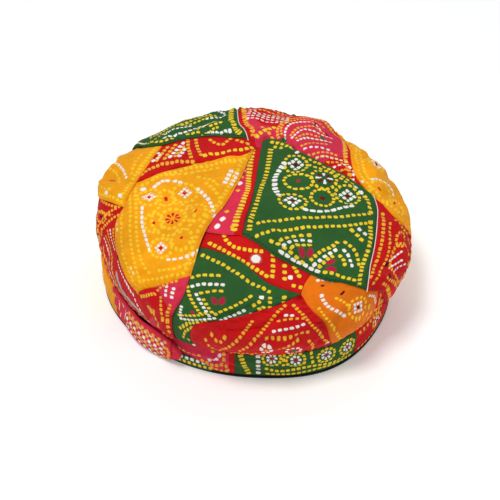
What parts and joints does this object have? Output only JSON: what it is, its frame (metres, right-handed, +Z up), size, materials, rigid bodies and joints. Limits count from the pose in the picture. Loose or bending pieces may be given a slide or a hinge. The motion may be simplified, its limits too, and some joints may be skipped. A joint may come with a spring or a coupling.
{
  "type": "tied turban pagri",
  "caption": "Ready-wound round turban of printed tie-dye patchwork cloth: layered crown wraps over a turned band, on a padded black cap with an open head hollow.",
  "frame": {"origin": "on the surface that the turban rests on, under the middle of its box", "axes": "+Z up through the crown, -Y to the front, +X to the right as seen from the front"},
  "size_m": [0.2652, 0.2618, 0.1127],
  "materials": {
    "green_cloth": "printed cotton, matte",
    "orange_cloth": "printed cotton, matte",
    "red_cloth": "printed cotton, matte",
    "pink_cloth": "printed cotton, matte",
    "black_lining": "plain cotton lining, matte"
  },
  "bodies": {
    "root": {"lining_cap": "black_lining", "band_lower_turn": "green_cloth", "band_right_pink": "pink_cloth", "band_front_green": "green_cloth", "band_side_red": "red_cloth", "band_back_orange": "orange_cloth", "band_back_green": "green_cloth", "band_left_orange": "orange_cloth", "band_left_pink": "pink_cloth", "left_red_cloth": "red_cloth", "left_pink_cloth": "pink_cloth", "front_red_strip": "red_cloth", "front_lower_green": "green_cloth", "front_red_triangle": "red_cloth", "front_orange_bulge": "orange_cloth", "front_red_side": "red_cloth", "top_pink_strip": "pink_cloth", "top_big_green": "green_cloth", "top_red_right": "red_cloth", "top_orange_right": "orange_cloth", "side_red_wedge": "red_cloth", "side_orange": "orange_cloth", "side_big_orange": "orange_cloth", "side_pink_foot": "pink_cloth", "back_green_flap": "green_cloth", "back_pink": "pink_cloth", "back_green": "green_cloth"}
  },
  "joints": []
}
